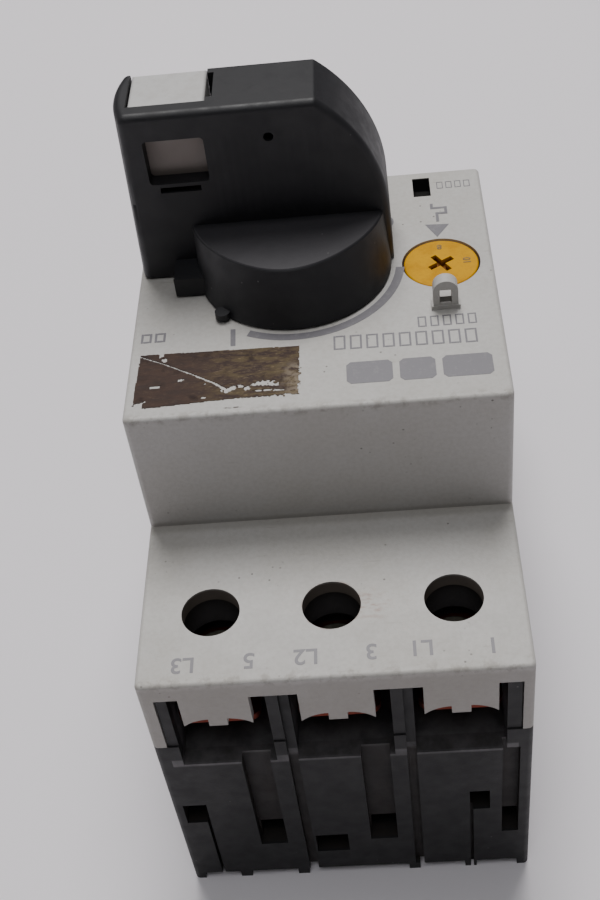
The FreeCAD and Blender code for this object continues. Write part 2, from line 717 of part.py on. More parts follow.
def magnet_yoke(pole):
    """The iron frame around one coil."""
    x = pole_x(pole)
    top = box(x - 4.4, x + 4.4, -17.0, -5.6, YOKE_TOP - 1.5, YOKE_TOP)
    bottom = box(x - 4.4, x + 4.4, -17.0, -5.6, YOKE_BOTTOM, YOKE_BOTTOM + 1.5)
    back = box(x - 4.4, x + 4.4, -7.1, -5.6, YOKE_BOTTOM, YOKE_TOP)
    return joined([top, bottom, back]).cut(rod(x, POLE_Y, 0, 50, 2.1))


def plunger(pole):
    """The armature and striker pin inside one coil."""
    x = pole_x(pole)
    pin = rod(x, POLE_Y, BRIDGE_BOTTOM + STRIP + 3.3, 41.5, 1.6)
    head = rod(x, POLE_Y, 41.2, 43.2, 4.0)
    return joined([pin, head])


def bimetal(pole):
    """The overload strip of one pole with its heater winding."""
    x = pole_x(pole)
    strip = box(x - 0.5, x + 0.5, BIMETAL_Y - 2.4, BIMETAL_Y + 2.4, 9.0, 36.6)
    foot = box(x - 3.0, x + 3.0, BIMETAL_Y - 2.4, BIMETAL_Y + 2.4, 7.6, 9.2)
    turns = []
    for index in range(6):
        z = 14.0 + index * 2.2
        turns.append(box(x - 1.6, x + 1.6, BIMETAL_Y - 3.2, BIMETAL_Y + 3.2, z, z + 1.5))
    tail = box(x - 3.0, x + 3.0, BIMETAL_Y - 2.5, BIMETAL_Y - 1.2, 9.0, 17.9)
    return joined([strip, foot, tail] + turns)


def line_plate(pole):
    """The plate under one line terminal, tapped for its screw."""
    x = pole_x(pole)
    bottom = PLATE_TOP - PLATE_THICKNESS
    plate = box(x - 4.0, x + 4.0, -PLATE_END, -24.2, bottom, PLATE_TOP)
    return plate.cut(rod(x, -SCREW_Y, 20, 40, THREAD_BORE))


def load_strip(pole):
    """The strip under one load terminal, led down to the bimetal."""
    x = pole_x(pole)
    bottom = PLATE_TOP - PLATE_THICKNESS
    plate = box(x - 4.0, x + 4.0, 27.6, PLATE_END, bottom, PLATE_TOP)
    drop = box(x - 3.0, x + 3.0, 27.6, 28.8, 7.6, PLATE_TOP)
    foot = box(x - 3.0, x + 3.0, BIMETAL_Y + 2.4, 28.8, 7.6, 8.8)
    plate = plate.cut(rod(x, SCREW_Y, 20, 40, THREAD_BORE))
    return joined([plate, drop, foot])


def clamp_washer(pole, end):
    """The square washer that presses the wires on one terminal plate."""
    x = pole_x(pole)
    z = WASHER_BOTTOM
    plate = box(x - 4.9, x + 4.9, -44.7, -31.6, z, z + WASHER_THICKNESS)
    plate = rounded(plate, 1.2, is_upright)
    plate = plate.cut(rod(x, -SCREW_Y, z - 1, z + 3, 2.2))
    return flipped(plate, end)


def terminal_screw(pole, end):
    """The captive screw of one terminal, drawn fully open."""
    x = pole_x(pole)
    y = end * SCREW_Y
    seat = WASHER_BOTTOM + WASHER_THICKNESS
    top = seat + SCREW_HEAD_HEIGHT
    head = rod(x, y, seat, top, SCREW_HEAD_RADIUS)
    head = rounded(head, 0.3, lambda edge: edge.BoundBox.ZMin > top - 0.01)
    shank = rod(x, y, SCREW_FOOT, seat + 0.5, SHANK_RADIUS)
    return joined([head, shank]).cut(cross_recess(x, y, top, 2.0, 1.3, 25 * pole))


def current_dial():
    """The yellow setting dial with its cross recess."""
    top = RAISED_FACE - 0.1
    disc = rod(DIAL_X, DIAL_Y, 60.4, top, DIAL_RADIUS)
    disc = rounded(disc, 0.25, lambda edge: edge.BoundBox.ZMin > top - 0.01)
    socket = rod(DIAL_X, DIAL_Y, 60, 62.2, 1.5)
    return without(disc, [cross_recess(DIAL_X, DIAL_Y, top, 1.75, 0.9, 32), socket])


def dial_cam():
    """The spindle and eccentric under the dial."""
    spindle = rod(DIAL_X, DIAL_Y, 48.0, 62.2, 1.5)
    eccentric = rod(DIAL_X + 0.7, DIAL_Y, 46.0, 49.0, 3.0)
    return joined([spindle, eccentric])


def test_slide():
    """The small slide that a screwdriver pushes in the test slot."""
    face = RAISED_FACE
    tongue = box(TEST_X[0] + 0.15, TEST_X[1] - 0.15, 18.9, TEST_Y[1] - 0.15, 58, face - 3.2)
    plate = box(11.6, 17.6, 16.6, 20.7, 58.0, 59.6)
    leg = box(13.6, 15.4, 18.9, 20.7, 46.0, 59.0)
    return joined([tongue, plate, leg])


def test_spring():
    """The return spring of the test slide."""
    spring = coil_spring(0, 0, 11.2, 16.6, 1.1, 0.4, 5)
    spring.rotate(Vector(0, 0, 0), Vector(1, 0, 0), -90)
    spring.translate(Vector(14.6, 0, 58.8))
    return spring


def trip_bar():
    """The bar that the three bimetals push, across all the poles."""
    bar = box(-17.5, 19.0, BIMETAL_Y - 1.2, BIMETAL_Y + 1.2, 38.6, 40.4)
    fingers = []
    for pole in POLES:
        x = pole_x(pole) + 1.9
        fingers.append(box(x - 0.6, x + 0.6, BIMETAL_Y - 1.2, BIMETAL_Y + 1.2, 34.0, 39.0))
    return joined([bar] + fingers)


def main_spring():
    """The spring between the frame and the switch lever."""
    return coil_spring(-11.4, 7.0, 50.05, 56.25, 1.7, 0.6, 4)


def save(name, shape):
    """Write one sub-part."""
    shape.exportStep("parts/" + name + ".step")
    if not shape.isValid():
        print("not valid:", name)


def main():
    """Make every sub-part."""
    save("base_housing", base_housing())
    shell = cover_shell()
    save("front_cover", front_cover(shell))
    for end_name, end in ENDS.items():
        save(end_name + "_terminal_cover", terminal_cover(shell, end))
    save("rotary_handle", rotary_handle())
    save("lock_slide", lock_slide())
    save("operating_shaft", operating_shaft())
    save("current_dial", current_dial())
    save("dial_cam", dial_cam())
    save("test_slide", test_slide())
    save("test_spring", test_spring())
    save("trip_bar", trip_bar())
    save("switch_lever", switch_lever())
    save("main_spring", main_spring())
    save("latch_frame", latch_frame())
    save("contact_carrier", contact_carrier())
    save("rail_latch", rail_latch())
    save("latch_spring", latch_spring())
    for pole in POLES:
        number = str(pole)
        save("contact_bridge_" + number, contact_bridge(pole))
        save("contact_spring_" + number, contact_spring(pole))
        save("fixed_contacts_" + number, fixed_contacts(pole))
        save("arc_chute_" + number, arc_chute(pole))
        save("magnet_coil_" + number, magnet_coil(pole))
        save("magnet_yoke_" + number, magnet_yoke(pole))
        save("plunger_" + number, plunger(pole))
        save("bimetal_" + number, bimetal(pole))
        save("line_plate_" + number, line_plate(pole))
        save("load_strip_" + number, load_strip(pole))
        for end_name, end in ENDS.items():
            save(end_name + "_washer_" + number, clamp_washer(pole, end))
            save(end_name + "_screw_" + number, terminal_screw(pole, end))


main()
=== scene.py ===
import math

import bmesh
import bpy
from mathutils import Matrix, Vector, noise


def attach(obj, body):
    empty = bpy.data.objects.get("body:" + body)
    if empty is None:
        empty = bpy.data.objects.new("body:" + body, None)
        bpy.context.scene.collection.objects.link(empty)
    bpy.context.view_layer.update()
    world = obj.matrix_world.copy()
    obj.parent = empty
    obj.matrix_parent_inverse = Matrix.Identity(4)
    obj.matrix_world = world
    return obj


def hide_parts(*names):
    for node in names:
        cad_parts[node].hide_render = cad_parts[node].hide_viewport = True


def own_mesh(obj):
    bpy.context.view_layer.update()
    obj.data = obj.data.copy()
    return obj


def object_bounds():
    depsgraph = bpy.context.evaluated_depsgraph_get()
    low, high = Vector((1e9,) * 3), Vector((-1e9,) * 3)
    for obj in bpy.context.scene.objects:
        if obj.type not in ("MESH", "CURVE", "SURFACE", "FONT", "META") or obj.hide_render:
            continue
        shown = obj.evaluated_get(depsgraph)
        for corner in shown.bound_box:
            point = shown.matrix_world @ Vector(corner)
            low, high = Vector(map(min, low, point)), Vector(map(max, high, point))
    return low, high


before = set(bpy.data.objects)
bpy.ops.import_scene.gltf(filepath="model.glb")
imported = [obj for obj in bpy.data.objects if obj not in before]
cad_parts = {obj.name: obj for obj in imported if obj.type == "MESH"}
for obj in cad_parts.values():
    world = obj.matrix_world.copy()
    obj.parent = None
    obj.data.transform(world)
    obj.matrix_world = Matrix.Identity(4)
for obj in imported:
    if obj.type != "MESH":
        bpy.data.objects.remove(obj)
cad_low, cad_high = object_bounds()

MM = 0.001

# The view that the model is first shown from: place in millimetres, angles in degrees
CAMERA_PLACE = (8.789, -131.477, 168.177)
CAMERA_AZIMUTH = 5.911
CAMERA_ELEVATION = 45.329
CAMERA_ROLL = -8.194
CAMERA_LENS = 53.10
CAMERA_SENSOR = 36.0

# Places on the object, in millimetres in the frame's axes. Both ends match, so y is often unsigned
END_FACE = 46.5
STEP_FACE = 45.5
SKIRT_TOP = 45.2
RAISED_FACE = 64.0
RAISED_EDGE = 22.5
POLE_PITCH = 14.2
SCREW_Y = 36.4
ACCESS_RADIUS = 3.45
CHAMBER_FLOOR = 29.6
CHAMBER_MIDDLE = 37.9
GROOVE_FACE = 45.2
INNER_HALF_WIDTH = 20.7
KNOB = (-2.4, 3.4)
DISC_TOP = 72.0
GRIP_MIDDLE = 78.5
SLIDE_WINDOW_TOP = 87.0
SLIDE_WINDOW_FACE = 5.4
DIAL = (16.0, 2.3)
DIAL_TOP = 63.9
DIAL_FIGURES_RADIUS = 3.3
TEST_SLOT = (14.55, 18.85)
SMEAR = (4.6, -36.6)
SCUFF = (-9.6, -21.46)

# Marks and glue, in millimetres
RIB_SPACING = 1.15
MARK_RISE = 0.03
MARK_SINK = 0.01
FIGURE_THICKNESS = 0.012
FIGURE_WEIGHT = 0.045
GLUE_CELL = 0.11
GLUE_START = (-21.7, -21.0)
GLUE_SPAN = (20.4, 10.2)
GLUE_RISE = 0.07

# Lights, in metres
LIGHT_DISTANCE = 1.2
LIGHT_SIZE = 0.6
LIGHT_TARGET = Vector((0, 0, 0.03))


# ---------------------------------------------------------------- helpers

def screen(red, green, blue):
    """A colour given as 0 to 255 screen values, as linear light."""
    linear = []
    for value in (red, green, blue):
        value /= 255
        linear.append(value / 12.92 if value <= 0.04045 else ((value + 0.055) / 1.055) ** 2.4)
    return (*linear, 1.0)


class Shader:
    """A small builder for a Principled material in object coordinates (metres)."""

    def __init__(self, name):
        self.material = bpy.data.materials.new(name)
        self.material.use_nodes = True
        self.tree = self.material.node_tree
        self.principled = self.tree.nodes["Principled BSDF"]
        self.coordinates = self.node("ShaderNodeTexCoord").outputs["Object"]

    def node(self, kind, **settings):
        made = self.tree.nodes.new(kind)
        for key, value in settings.items():
            setattr(made, key, value)
        return made

    def plug(self, socket, value):
        if hasattr(value, "is_linked"):
            self.tree.links.new(value, socket)
        else:
            socket.default_value = value

    def math(self, operation, first, second=0.0):
        made = self.node("ShaderNodeMath", operation=operation)
        self.plug(made.inputs[0], first)
        self.plug(made.inputs[1], second)
        return made.outputs[0]

    def times(self, first, second):
        return self.math("MULTIPLY", first, second)

    def mix(self, amount, first, second):
        """The first colour at an amount of 0, the second at 1."""
        made = self.node("ShaderNodeMix", data_type="RGBA")
        self.plug(made.inputs[0], amount)
        self.plug(made.inputs[6], first)
        self.plug(made.inputs[7], second)
        return made.outputs[2]

    def ramp(self, value, low, high, first=0.0, last=1.0):
        """A smooth step: first where the value is at low, last where it is at high."""
        made = self.node("ShaderNodeMapRange", interpolation_type="SMOOTHSTEP")
        self.plug(made.inputs[0], value)
        for index, number in enumerate((low, high, first, last)):
            made.inputs[index + 1].default_value = number
        return made.outputs[0]

    def stretched(self, size, turn=0.0):
        """Coordinates scaled along each axis and turned by some degrees, for long grain."""
        made = self.node("ShaderNodeMapping")
        self.plug(made.inputs["Vector"], self.coordinates)
        made.inputs["Rotation"].default_value = (0, 0, math.radians(turn))
        made.inputs["Scale"].default_value = size
        return made.outputs[0]

    def noise(self, size_mm, detail=3.0, rough=0.5, vector=None):
        """Noise whose cells are about size_mm across."""
        made = self.node("ShaderNodeTexNoise")
        self.plug(made.inputs["Vector"], vector or self.coordinates)
        made.inputs["Scale"].default_value = 1 / (size_mm * MM)
        made.inputs["Detail"].default_value = detail
        made.inputs["Roughness"].default_value = rough
        return made.outputs["Fac"]

    def cells(self, size_mm):
        """Distance to the nearest of scattered points, about size_mm apart."""
        made = self.node("ShaderNodeTexVoronoi", feature="F1")
        self.plug(made.inputs["Vector"], self.coordinates)
        made.inputs["Scale"].default_value = 1 / (size_mm * MM)
        return made.outputs["Distance"]

    def axes(self):
        """X, Y and Z of the shaded point, in metres."""
        made = self.node("ShaderNodeSeparateXYZ")
        self.plug(made.inputs[0], self.coordinates)
        return made.outputs[0], made.outputs[1], made.outputs[2]

    def band(self, value, middle_mm, half_mm, soft_mm):
        """1 where the value is within half_mm of middle_mm, fading over soft_mm."""
        away = self.math("ABSOLUTE", self.math("SUBTRACT", value, middle_mm * MM))
        return self.ramp(away, (half_mm + soft_mm) * MM, half_mm * MM)

    def near(self, place, radius_mm, soft_mm):
        """1 within radius_mm of a place, fading over soft_mm."""
        made = self.node("ShaderNodeVectorMath", operation="DISTANCE")
        self.plug(made.inputs[0], self.coordinates)
        made.inputs[1].default_value = [value * MM for value in place]
        return self.ramp(made.outputs["Value"], (radius_mm + soft_mm) * MM, radius_mm * MM)

    def bump(self, height, depth_mm, strength):
        made = self.node("ShaderNodeBump")
        made.inputs["Strength"].default_value = strength
        made.inputs["Distance"].default_value = depth_mm * MM
        self.plug(made.inputs["Height"], height)
        return made.outputs[0]

    def finish(self, colour, roughness, normal=None, **values):
        self.plug(self.principled.inputs["Base Color"], colour)
        self.plug(self.principled.inputs["Roughness"], roughness)
        if normal is not None:
            self.plug(self.principled.inputs["Normal"], normal)
        for name, value in values.items():
            self.principled.inputs[name.replace("_", " ")].default_value = value
        return self.material


def dress(node, material):
    """Give a CAD node its material."""
    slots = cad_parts[node].data.materials
    slots.clear()
    slots.append(material)


def add_mesh(name, mesh_builder, material, body):
    """A new piece from a bmesh, riding on a body."""
    mesh = bpy.data.meshes.new(name)
    mesh_builder.to_mesh(mesh)
    mesh_builder.free()
    piece = bpy.data.objects.new(name, mesh)
    bpy.context.collection.objects.link(piece)
    mesh.materials.append(material)
    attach(piece, body)


# ---------------------------------------------------------------- materials

def cover_material():
    """Light grey moulded plastic with grime, specks, scuffs and a brown smear, and painted shade at the
    riser's foot, in the access holes, in the test slot and on the end walls.
    """
    make = Shader("light_cover_plastic")
    x, y, z = make.axes()
    clean = screen(186, 184, 181)
    warm = screen(176, 172, 165)
    # This colour serves both real grime and painted shade.
    grime_and_shade = screen(128, 121, 112)
    speck = screen(74, 66, 60)
    broad = make.ramp(make.noise(14, 4, 0.6), 0.35, 0.7)
    fine = make.ramp(make.noise(0.55, 3, 0.6), 0.3, 0.75)
    colour = make.mix(make.times(broad, 0.45), clean, warm)
    colour = make.mix(make.times(fine, 0.16), colour, grime_and_shade)
    front_edge = make.times(make.band(y, -END_FACE, 0.5, 1.6), make.band(z, STEP_FACE, 0.4, 1.0))
    back_edge = make.times(make.band(y, END_FACE, 0.5, 1.6), make.band(z, STEP_FACE, 0.4, 1.0))
    top_edge = make.times(make.band(y, -RAISED_EDGE, 0.3, 1.2), make.band(z, RAISED_FACE, 0.4, 1.0))
    edges = make.math("MAXIMUM", make.math("MAXIMUM", front_edge, back_edge), top_edge)
    patchy = make.ramp(make.noise(1.6, 5, 0.7), 0.47, 0.62)
    edge_dirt = make.times(make.times(edges, patchy), 0.45)
    colour = make.mix(edge_dirt, colour, grime_and_shade)
    # Painted shade: the crease at the foot of the riser is darkened.
    riser_foot_shade = make.times(make.band(z, STEP_FACE, 0.25, 0.7), make.band(y, -RAISED_EDGE - 0.4, 0.3, 0.9))
    colour = make.mix(make.times(riser_foot_shade, 0.35), colour, grime_and_shade)
    sparse = make.ramp(make.noise(9, 2, 0.5), 0.5, 0.68)
    dots = make.ramp(make.cells(1.3), 0.14, 0.07)
    dots = make.times(dots, sparse)
    colour = make.mix(make.times(dots, 0.75), colour, speck)
    scratches = make.noise(0.35, 2, 0.5, make.stretched((0.05, 1.0, 1.0), 24))
    scratch_area = make.ramp(make.noise(7, 2, 0.5), 0.52, 0.66)
    scratch = make.times(make.ramp(scratches, 0.66, 0.72), scratch_area)
    colour = make.mix(make.times(scratch, 0.35), colour, grime_and_shade)
    smear_shape = make.near((*SMEAR, STEP_FACE), 0.7, 2.4)
    smear_grain = make.noise(0.8, 5, 0.7, make.stretched((0.5, 1.3, 1.0)))
    smear_grain = make.ramp(smear_grain, 0.45, 0.65)
    smear = make.times(smear_shape, smear_grain)
    colour = make.mix(make.times(smear, 0.55), colour, screen(140, 98, 82))
    hole_ring = make.near((0.0, -SCREW_Y, STEP_FACE), ACCESS_RADIUS - 0.1, 0.35)
    rust = make.times(hole_ring, make.ramp(make.noise(1.3, 3, 0.6), 0.45, 0.62))
    colour = make.mix(make.times(rust, 0.6), colour, screen(120, 84, 62))
    scuff = make.times(make.band(y, SCUFF[1], 0.06, 0.1), make.band(x, SCUFF[0], 0.7, 0.5))
    scuff = make.times(scuff, make.ramp(make.noise(0.5, 3, 0.6), 0.35, 0.55))
    colour = make.mix(scuff, colour, speck)
    # Painted shade: the inner walls of the six access holes are darkened.
    for end in (-1, 1):
        for pole in (-1, 0, 1):
            middle = (pole * POLE_PITCH, end * SCREW_Y, STEP_FACE - 1.5)
            hole_wall_shade = make.near(middle, ACCESS_RADIUS + 0.17, 0.1)
            colour = make.mix(hole_wall_shade, colour, screen(122, 113, 106))
    # Painted shade: the end walls below the skirt top are darkened as a whole.
    end_wall = make.band(make.math("ABSOLUTE", y), END_FACE, 0.2, 0.4)
    skirt_shade = make.times(end_wall, make.ramp(z, SKIRT_TOP * MM, (SKIRT_TOP - 1.0) * MM))
    colour = make.mix(make.times(skirt_shade, 0.36), colour, grime_and_shade)
    # Painted shade: the inside of the test slot is painted near black.
    test_slot_shade = make.times(make.band(x, TEST_SLOT[0], 1.25, 0.1), make.band(y, TEST_SLOT[1], 2.2, 0.1))
    test_slot_shade = make.times(test_slot_shade, make.ramp(z, (RAISED_FACE - 0.05) * MM, (RAISED_FACE - 0.2) * MM))
    colour = make.mix(test_slot_shade, colour, screen(34, 33, 34))
    grain = make.math("ADD", make.noise(0.22, 2, 0.6), make.times(make.noise(0.9, 2, 0.5), 0.5))
    grain = make.math("SUBTRACT", grain, make.times(scratch, 0.5))
    normal = make.bump(grain, 0.045, 0.55)
    rough = make.ramp(make.noise(3.0, 3, 0.6), 0.3, 0.7, 0.48, 0.6)
    return make.finish(colour, rough, normal, Specular_IOR_Level=0.4)


def dark_plastic(name, colour, dusty, gloss, grain_mm=0.3, depth_mm=0.03, extra=None):
    """Black moulded plastic with a fine grain and a little pale dust.

    The extra step, if there is one, changes the tone and the grain.
    """
    make = Shader(name)
    dust = make.ramp(make.noise(5.0, 5, 0.65), 0.45, 0.75)
    fine = make.ramp(make.noise(0.5, 3, 0.6), 0.35, 0.7)
    tone = make.mix(make.times(dust, dusty), colour, screen(92, 90, 90))
    tone = make.mix(make.times(fine, dusty * 0.5), tone, screen(70, 66, 62))
    lint_area = make.ramp(make.noise(6, 2), 0.5, 0.6)
    lint = make.times(make.ramp(make.cells(2.1), 0.07, 0.035), lint_area)
    tone = make.mix(make.times(lint, 0.35), tone, screen(130, 128, 126))
    grain = make.math("ADD", make.noise(grain_mm, 2, 0.6), make.times(make.noise(2.4, 2, 0.5), 0.6))
    if extra:
        tone, grain = extra(make, tone, grain)
    normal = make.bump(grain, depth_mm, 0.5)
    rough = make.ramp(make.noise(2.0, 4, 0.6), 0.3, 0.75, gloss, gloss + 0.14)
    return make.finish(tone, rough, normal, Specular_IOR_Level=0.38)


def handle_ribs_and_sheen(make, tone, grain):
    """Faint moulded ribs on the grip's front, and a painted sheen that lightens the top of the disc."""
    x, y, z = make.axes()
    ribs = make.math("SINE", make.times(x, 2 * math.pi / (RIB_SPACING * MM)))
    on_front = make.times(make.band(x, KNOB[0] - 1.0, 7.0, 0.6), make.band(z, GRIP_MIDDLE, 5.5, 0.6))
    on_front = make.times(on_front, make.ramp(y, (KNOB[1] + 0.6) * MM, (KNOB[1] + 0.1) * MM))
    grain = make.math("ADD", grain, make.times(make.times(ribs, on_front), 0.9))
    # Painted sheen: the top of the disc in front of the grip is lightened.
    before_grip = make.ramp(y, (KNOB[1] - 0.2) * MM, (KNOB[1] - 1.4) * MM)
    disc_top_sheen = make.times(make.band(z, DISC_TOP, 0.06, 0.1), before_grip)
    tone = make.mix(make.times(disc_top_sheen, 0.22), tone, screen(96, 93, 98))
    return tone, grain


def housing_wear(make, tone, grain):
    """Dust in the terminal chambers and on their floors, and brown dirt in the grooves of the end walls."""
    x, y, z = make.axes()
    out = make.math("ABSOLUTE", y)
    inside = make.band(x, 0.0, INNER_HALF_WIDTH, 0.1)
    floor = make.band(z, CHAMBER_FLOOR - 0.3, 0.5, 0.4)
    floor = make.times(make.ramp(out, 30.0 * MM, 32.0 * MM), floor)
    floor = make.times(floor, inside)
    cloud = make.ramp(make.noise(3.0, 4, 0.6), 0.3, 0.7, 0.35, 0.85)
    tone = make.mix(make.times(floor, cloud), tone, screen(104, 102, 104))
    above_floor = make.ramp(z, CHAMBER_FLOOR * MM, (CHAMBER_FLOOR + 0.4) * MM)
    room = make.times(make.band(out, CHAMBER_MIDDLE, 6.9, 0.1), above_floor)
    room = make.times(room, inside)
    tone = make.mix(make.times(room, 0.7), tone, screen(78, 76, 78))
    below_floor = make.ramp(z, (CHAMBER_FLOOR - 0.4) * MM, (CHAMBER_FLOOR - 0.8) * MM)
    groove = make.times(make.band(out, GROOVE_FACE, 0.95, 0.1), below_floor)
    stain = make.ramp(make.noise(2.5, 5, 0.65, make.stretched((1.0, 1.0, 0.3))), 0.35, 0.7, 0.3, 0.8)
    tone = make.mix(make.times(groove, stain), tone, screen(40, 32, 28))
    return tone, grain


def metal(name, colour, tarnish, roughness, grain=(1.0, 1.0, 1.0)):
    """Sheet or turned metal with stains and a fine drawn grain."""
    make = Shader(name)
    stain = make.ramp(make.noise(2.2, 5, 0.65), 0.4, 0.7)
    tone = make.mix(make.times(stain, 0.55), colour, tarnish)
    lines = make.noise(0.12, 2, 0.5, make.stretched(grain))
    normal = make.bump(lines, 0.01, 0.4)
    rough = make.ramp(make.noise(1.2, 4, 0.6), 0.3, 0.7, roughness, roughness + 0.18)
    return make.finish(tone, rough, normal, Metallic=1.0)


def dial_material():
    """Glossy amber plastic with painted shade low in its recess, and faint cloudy depth."""
    make = Shader("yellow_dial_plastic")
    z = make.axes()[2]
    cloud = make.ramp(make.noise(2.6, 4, 0.6), 0.35, 0.7)
    tone = make.mix(cloud, screen(204, 150, 0), screen(188, 132, 0))
    # Painted shade: the dial's sides low in the recess are darkened.
    recess_shade = make.ramp(z, (DIAL_TOP - 0.15) * MM, (DIAL_TOP - 0.7) * MM)
    tone = make.mix(recess_shade, tone, screen(112, 66, 18))
    fine = make.ramp(make.noise(0.4, 3, 0.6), 0.45, 0.75)
    tone = make.mix(make.times(fine, 0.14), tone, screen(120, 90, 30))
    normal = make.bump(make.noise(0.35, 2), 0.012, 0.4)
    rough = make.ramp(make.noise(1.5, 3), 0.3, 0.7, 0.42, 0.55)
    return make.finish(tone, rough, normal, Specular_IOR_Level=0.12)


def print_material():
    """Grey pad-printed ink, slightly worn through."""
    make = Shader("printed_grey_ink")
    wear = make.ramp(make.noise(0.7, 5, 0.7), 0.5, 0.72)
    tone = make.mix(make.times(wear, 0.35), screen(112, 110, 115), screen(150, 148, 148))
    normal = make.bump(make.noise(0.25, 2), 0.01, 0.4)
    return make.finish(tone, make.ramp(wear, 0, 1, 0.45, 0.6), normal)


def residue_material():
    """Brown glue left by a torn-off sticker: even at the left, fibrous and paler at the right."""
    make = Shader("sticker_residue")
    x, y = make.axes()[:2]
    streak = make.noise(1.1, 6, 0.7, make.stretched((0.45, 1.5, 1.0), 12))
    fibre = make.noise(0.3, 4, 0.7, make.stretched((0.4, 1.6, 1.0), -8))
    rightward = make.ramp(x, -16 * MM, -8 * MM)
    tone = make.mix(make.ramp(streak, 0.35, 0.65), screen(54, 40, 35), screen(70, 55, 48))
    pale = make.times(make.ramp(streak, 0.42, 0.6), rightward)
    tone = make.mix(pale, tone, screen(88, 76, 56))
    fibre_share = make.math("ADD", make.times(rightward, 0.6), 0.2)
    fibres = make.times(make.ramp(fibre, 0.54, 0.7), fibre_share)
    tone = make.mix(fibres, tone, screen(122, 106, 82))
    tone = make.mix(make.ramp(make.noise(2.2, 4, 0.6), 0.52, 0.72), tone, screen(46, 34, 31))
    torn = make.times(make.ramp(x, -5.0 * MM, -2.2 * MM), make.ramp(y, -14.0 * MM, -15.5 * MM))
    torn = make.times(torn, make.ramp(make.noise(0.9, 4, 0.7), 0.38, 0.6))
    tone = make.mix(make.times(torn, 0.8), tone, screen(134, 122, 106))
    height = make.math("ADD", streak, make.times(fibre, 0.6))
    normal = make.bump(height, 0.09, 0.8)
    rough = make.ramp(streak, 0.3, 0.7, 0.62, 0.85)
    return make.finish(tone, rough, normal, Specular_IOR_Level=0.25)


def heater_material():
    """Oxidised heater tape: grey with straw and blue temper stains."""
    return metal("heater_tape", screen(150, 138, 118), screen(96, 92, 108), 0.4, (0.3, 1.0, 1.0))


# ---------------------------------------------------------------- printed marks

def add_slab(builder, outline, low, high):
    """A closed prism from an outline of (x, y) points in millimetres."""
    floor = [builder.verts.new((x * MM, y * MM, low * MM)) for x, y in outline]
    roof = [builder.verts.new((x * MM, y * MM, high * MM)) for x, y in outline]
    builder.faces.new(list(reversed(floor)))
    builder.faces.new(roof)
    for index in range(len(outline)):
        after = (index + 1) % len(outline)
        builder.faces.new((floor[index], floor[after], roof[after], roof[index]))


def turned(points, place, angle=0.0):
    """Points moved to a place after a turn in degrees."""
    cosine = math.cos(math.radians(angle))
    sine = math.sin(math.radians(angle))
    return [(place[0] + x * cosine - y * sine, place[1] + x * sine + y * cosine) for x, y in points]


def bar_outline(width, height, corner=0.12):
    """A rectangle with small cut corners, centred on zero."""
    half, tall = width / 2, height / 2
    return [
        (-half + corner, -tall), (half - corner, -tall), (half, -tall + corner), (half, tall - corner),
        (half - corner, tall), (-half + corner, tall), (-half, tall - corner), (-half, -tall + corner),
    ]


def position_arc(builder):
    """The printed band that follows the handle from one mark to the other."""
    inner, outer = 12.75, 13.85
    start, end = -115.5, -6.0
    count = 60
    for index in range(count):
        quad = []
        for radius, step in ((inner, 0), (outer, 0), (outer, 1), (inner, 1)):
            angle = math.radians(start + (end - start) * (index + step) / count)
            quad.append((KNOB[0] + radius * math.cos(angle), KNOB[1] + radius * math.sin(angle)))
        add_slab(builder, quad, RAISED_FACE - MARK_SINK, RAISED_FACE + MARK_RISE)


def ring_outline_slabs(builder, place, radii, stroke, low, high, count=20):
    """An oval ring made of short slabs."""
    for index in range(count):
        quad = []
        for grow, step in ((0, 0), (stroke, 0), (stroke, 1), (0, 1)):
            angle = 2 * math.pi * (index + step) / count
            across, tall = radii[0] - stroke + grow, radii[1] - stroke + grow
            quad.append((place[0] + across * math.cos(angle), place[1] + tall * math.sin(angle)))
        add_slab(builder, quad, low, high)


def frame_outline(builder, place, size, stroke, low, high):
    """A hollow box mark."""
    wide, tall = size
    for side in (-1, 1):
        upright = bar_outline(stroke, tall, stroke / 4)
        add_slab(builder, turned(upright, (place[0] + side * (wide - stroke) / 2, place[1])), low, high)
        level = bar_outline(wide - 2 * stroke, stroke, stroke / 4)
        add_slab(builder, turned(level, (place[0], place[1] + side * (tall - stroke) / 2)), low, high)


def face_marks(builder):
    """Position marks, pointer and plain boxes and bars on the raised face."""
    low, high = RAISED_FACE - MARK_SINK, RAISED_FACE + MARK_RISE
    add_slab(builder, turned(bar_outline(0.62, 3.1, 0.05), (-10.0, -9.2), 2), low, high)
    ring_outline_slabs(builder, (9.75, 11.7), (0.75, 1.15), 0.35, low, high)
    add_slab(builder, [(14.5, 10.4), (15.9, 7.6), (17.6, 10.2)], low, high)
    symbol = [(-0.9, 1.7, -0.9, 0.9), (-0.9, 0.9, 0.9, 0.9), (0.9, 0.9, 0.9, -0.3), (0.9, -0.3, -0.3, -0.3),
              (-0.3, -0.3, -0.3, -1.9)]
    half = 0.19
    for index, (x0, y0, x1, y1) in enumerate(symbol):
        left, right = sorted((x0, x1))
        foot, top = sorted((y0, y1))
        strip = [(left - half, foot - half), (right + half, foot - half),
                 (right + half, top + half), (left - half, top + half)]
        add_slab(builder, turned(strip, (16.5, 13.0)), low, high + index * 0.006)
    for middle, width in ((6.3, 5.4), (11.9, 4.2), (17.7, 5.8)):
        add_slab(builder, turned(bar_outline(width, 3.7, 0.5), (middle, -17.1)), low, high)
    for index in range(9):
        frame_outline(builder, (2.9 + index * 1.95, -11.6 - index * 0.05), (1.45, 2.5), 0.24, low, high)
    for index in range(5):
        frame_outline(builder, (12.9 + index * 1.5, -8.9), (1.05, 1.9), 0.2, low, high)
    for index in range(2):
        frame_outline(builder, (-20.7 + index * 1.7, -8.2), (1.35, 1.7), 0.3, low, high)
    for index in range(4):
        frame_outline(builder, (17.0 + index * 1.2, 19.0), (0.85, 1.5), 0.12, low, high)


